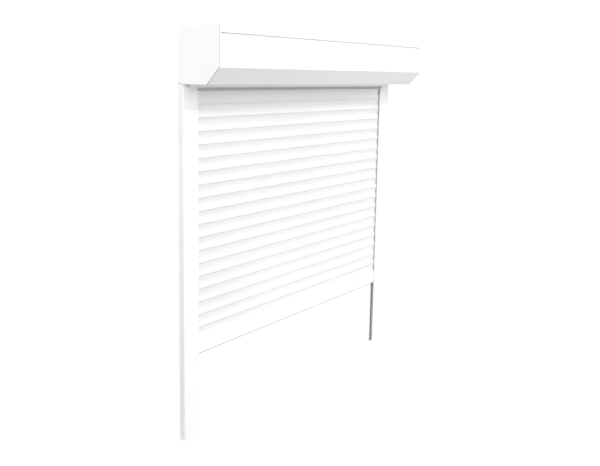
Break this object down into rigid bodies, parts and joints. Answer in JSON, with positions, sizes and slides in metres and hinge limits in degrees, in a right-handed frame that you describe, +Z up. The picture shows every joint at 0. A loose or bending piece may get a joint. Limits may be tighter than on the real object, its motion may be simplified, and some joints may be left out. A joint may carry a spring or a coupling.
{
  "type": "roller shutter with tubular motor",
  "caption": "Front-mounted roller shutter: head box with chamfered front, guide rails, hinged slat curtain and bottom bar, wound by a tubular motor inside its tube.",
  "frame": {"origin": "middle of the footprint, on the plane that the guide rails stand on", "axes": "+X to the right seen from outside, +Y towards the window or wall, +Z up"},
  "size_m": [1.036, 0.15, 1.15],
  "materials": {
    "white_powder_coat": "aluminium with a satin white powder coat",
    "white_cap_coat": "aluminium die casting with a satin white coat",
    "white_slat": "white extruded PVC, low sheen",
    "white_plastic": "white moulded plastic",
    "black_brush": "grey-black pile brush seal",
    "black_rubber": "black rubber",
    "grey_rubber": "grey rubber",
    "grey_plastic": "grey moulded nylon",
    "black_plastic": "black moulded nylon",
    "limit_screw_plastic": "yellow moulded plastic",
    "galvanised_steel": "galvanised sheet steel",
    "spring_steel": "blued spring steel",
    "zinc_screw": "zinc-plated steel",
    "bright_steel": "turned bright steel",
    "motor_tube_steel": "drawn steel tube",
    "brake_iron": "dark cast iron",
    "stator_copper": "lacquered copper windings",
    "capacitor_can": "drawn aluminium can"
  },
  "bodies": {
    "root": {"box_top_profile": "white_powder_coat", "end_cap_left": "white_cap_coat", "end_cap_right": "white_cap_coat", "cap_rivets": "zinc_screw", "guide_rail_left": "white_powder_coat", "guide_rail_right": "white_powder_coat", "brush_seals": "black_brush", "rail_foot_plugs": "grey_plastic", "rail_screw_caps": "white_plastic", "motor_bracket": "galvanised_steel", "bracket_screws": "zinc_screw", "idler_bracket": "galvanised_steel", "idler_bush": "grey_plastic", "motor_head": "black_plastic", "motor_housing": "motor_tube_steel", "gearbox": "motor_tube_steel", "brake": "brake_iron", "stator": "stator_copper", "rotor_bearing": "bright_steel", "limit_switch_unit": "black_plastic", "capacitor": "capacitor_can", "cable_grommet": "black_rubber"},
    "cover": {"inspection_cover": "white_powder_coat", "cover_screws": "zinc_screw", "inlet_lip_seal": "grey_rubber"},
    "curtain": {"slat_01": "white_slat", "slat_02": "white_slat", "slat_03": "white_slat", "slat_04": "white_slat", "slat_05": "white_slat", "slat_06": "white_slat", "slat_07": "white_slat", "slat_08": "white_slat", "slat_09": "white_slat", "slat_10": "white_slat", "slat_11": "white_slat", "slat_12": "white_slat", "slat_13": "white_slat", "slat_14": "white_slat", "slat_15": "white_slat", "slat_16": "white_slat", "slat_17": "white_slat", "slat_18": "white_slat", "slat_19": "white_slat", "slat_20": "white_slat", "slats_in_box": "white_slat", "bottom_bar": "white_powder_coat", "bar_gasket": "black_rubber", "bar_end_guides": "grey_plastic"},
    "tube": {"winding_tube": "galvanised_steel", "idler_capsule": "grey_plastic", "idler_pin": "bright_steel", "hanger_straps": "spring_steel", "rolled_slats": "white_slat", "output_shaft": "bright_steel", "drive_wheel": "grey_plastic", "limit_crown": "grey_plastic"},
    "rotor": {"rotor": "bright_steel"},
    "limit_up": {"limit_screw_up": "limit_screw_plastic"},
    "limit_down": {"limit_screw_down": "limit_screw_plastic"}
  },
  "joints": [
    {"name": "curtain_travel", "type": "slide", "parent": "root", "child": "curtain", "axis": [0, 0, 1], "range_m": [-0.09, 0.045]},
    {"name": "tube_turn", "type": "hinge", "parent": "root", "child": "tube", "pos_m": [0, 0.012, 1.075], "axis": [1, 0, 0], "range_deg": [-127, 64]},
    {"name": "cover_slide", "type": "slide", "parent": "root", "child": "cover", "axis": [0, 0, -1], "range_m": [0, 0.15]},
    {"name": "rotor_turn", "type": "hinge", "parent": "root", "child": "rotor", "pos_m": [0.2, 0.012, 1.075], "axis": [1, 0, 0], "continuous": true},
    {"name": "limit_up_turn", "type": "hinge", "parent": "root", "child": "limit_up", "pos_m": [0.492, 0.003, 1.05], "axis": [0, 0, 1], "continuous": true},
    {"name": "limit_down_turn", "type": "hinge", "parent": "root", "child": "limit_down", "pos_m": [0.492, 0.021, 1.05], "axis": [0, 0, 1], "continuous": true}
  ],
  "couplings": [
    {"joint": "tube_turn", "follows": "curtain_travel", "rad_per_m": 24.331}
  ]
}
